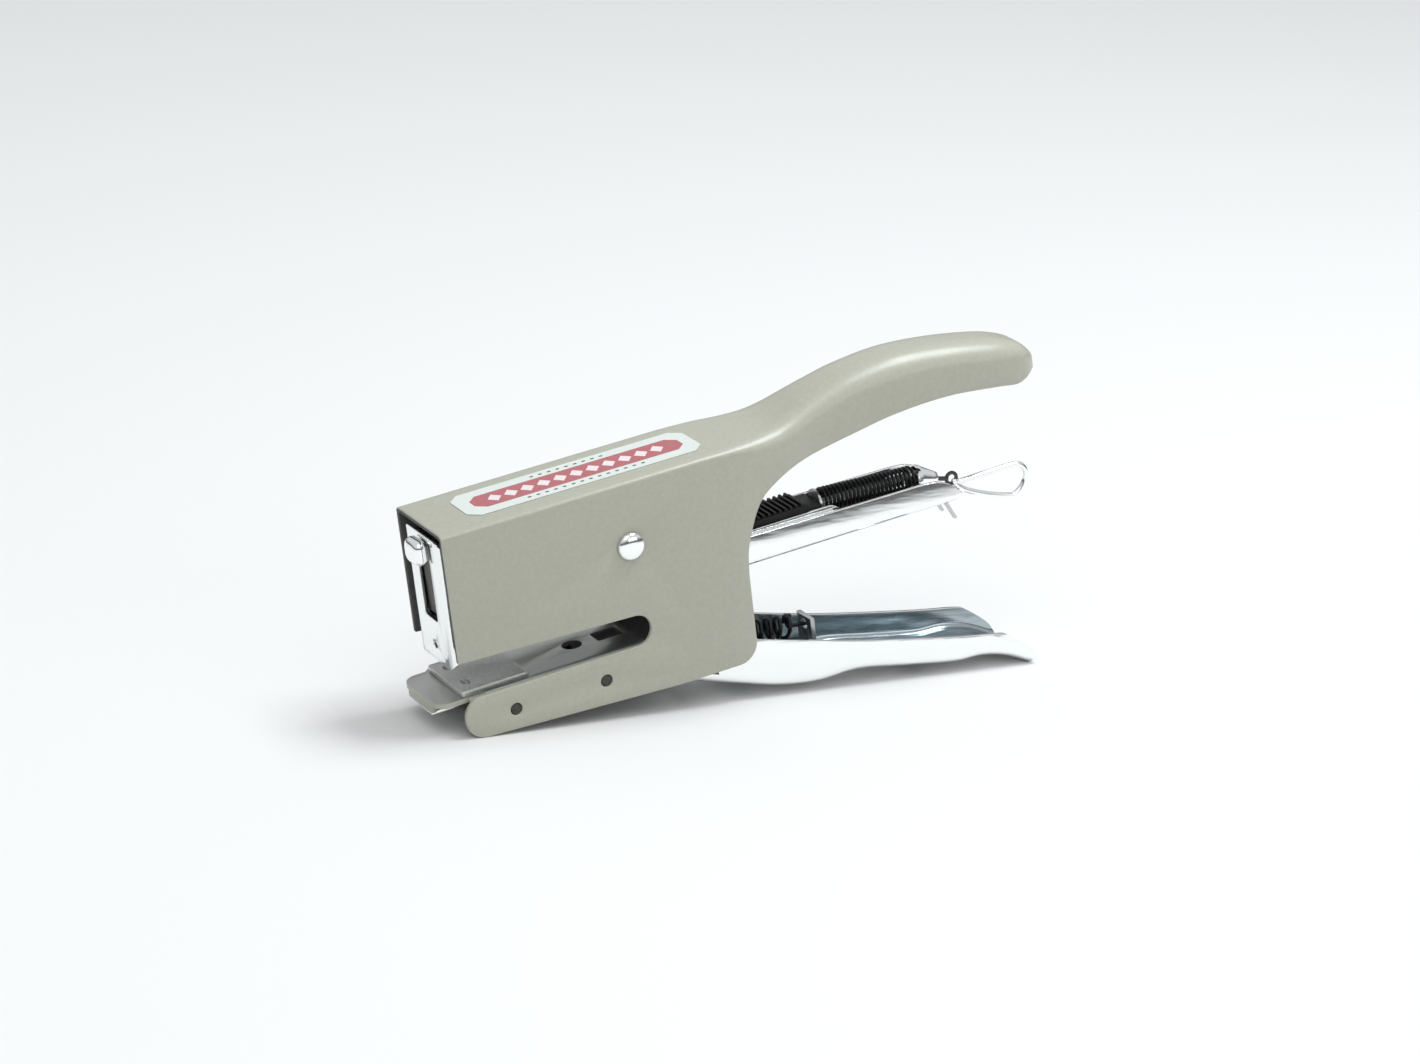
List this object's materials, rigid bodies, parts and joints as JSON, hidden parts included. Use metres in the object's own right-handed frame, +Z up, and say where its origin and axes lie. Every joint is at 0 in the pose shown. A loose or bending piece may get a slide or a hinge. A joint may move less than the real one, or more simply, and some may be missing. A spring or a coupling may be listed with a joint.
{
  "type": "plier stapler",
  "caption": "Hand plier stapler with a painted steel casing and fixed handle, a sprung lever, and a swinging magazine with driver, staples and pull-out feed rod.",
  "frame": {"origin": "the floor under the middle of the object's box, where it stands on the jaw's front corner and the lever's tail", "axes": "+X from the nose to the handle's tip, +Y to the far side across the casing, +Z up; the casing's flat top slopes down to the nose by 10.84 degrees"},
  "size_m": [0.1624, 0.0276, 0.0803],
  "materials": {
    "casing_enamel": "semi-gloss enamel",
    "chrome": "polished",
    "bright_steel": "satin",
    "blued_steel": "blued",
    "black_steel": "black oxide",
    "sticker": "printed film"
  },
  "bodies": {
    "casing": {"casing": "casing_enamel", "label": "sticker", "pivot_rivet": "chrome", "pivot_rivet_cap": "chrome", "pivot_bush": "bright_steel", "anvil_plate": "casing_enamel", "anvil_die": "bright_steel", "jaw_pin_front": "blued_steel", "jaw_pin_rear": "blued_steel", "anvil_brace": "chrome", "return_spring": "black_steel"},
    "lever": {"lever": "chrome", "driver_ram": "bright_steel", "ram_head": "chrome", "spring_anchor": "bright_steel"},
    "magazine": {"magazine_channel": "chrome", "inner_rail": "chrome", "staple_strip": "bright_steel", "nose_plate": "chrome", "tail_catch": "bright_steel"},
    "driver": {"driver_blade": "bright_steel"},
    "feed_rod": {"feed_rod": "bright_steel", "rod_stop": "bright_steel", "end_clip": "chrome", "loop_eye": "blued_steel", "pull_loop": "chrome", "feed_spring": "black_steel"},
    "follower": {"follower": "black_steel", "spring_collar": "bright_steel"}
  },
  "joints": [
    {"name": "lever_squeeze", "type": "hinge", "parent": "casing", "child": "lever", "pos_m": [-0.03163, 0, 0.04171], "axis": [0, -1, 0], "range_deg": [0, 19.5], "stiffness_Nm_per_rad": 3, "springref_deg": -17.19, "deforming": ["return_spring"]},
    {"name": "magazine_swing", "type": "hinge", "parent": "casing", "child": "magazine", "pos_m": [-0.03163, 0, 0.04171], "axis": [0, -1, 0], "range_deg": [0, 5]},
    {"name": "driver_stroke", "type": "slide", "parent": "magazine", "child": "driver", "axis": [0.1881, 0, -0.9822], "range_m": [0, 0.0118]},
    {"name": "feed_rod_pull", "type": "slide", "parent": "magazine", "child": "feed_rod", "axis": [0.9822, 0, 0.1881], "range_m": [0, 0.1]},
    {"name": "follower_feed", "type": "slide", "parent": "feed_rod", "child": "follower", "axis": [0.9822, 0, 0.1881], "range_m": [0, 0.012], "stiffness_N_per_m": 60, "springref_m": -0.03, "deforming": ["feed_spring"]}
  ],
  "couplings": [
    {"joint": "magazine_swing", "follows": "lever_squeeze", "ratio": 0.24},
    {"joint": "driver_stroke", "follows": "lever_squeeze", "m_per_rad": 0.0335}
  ]
}
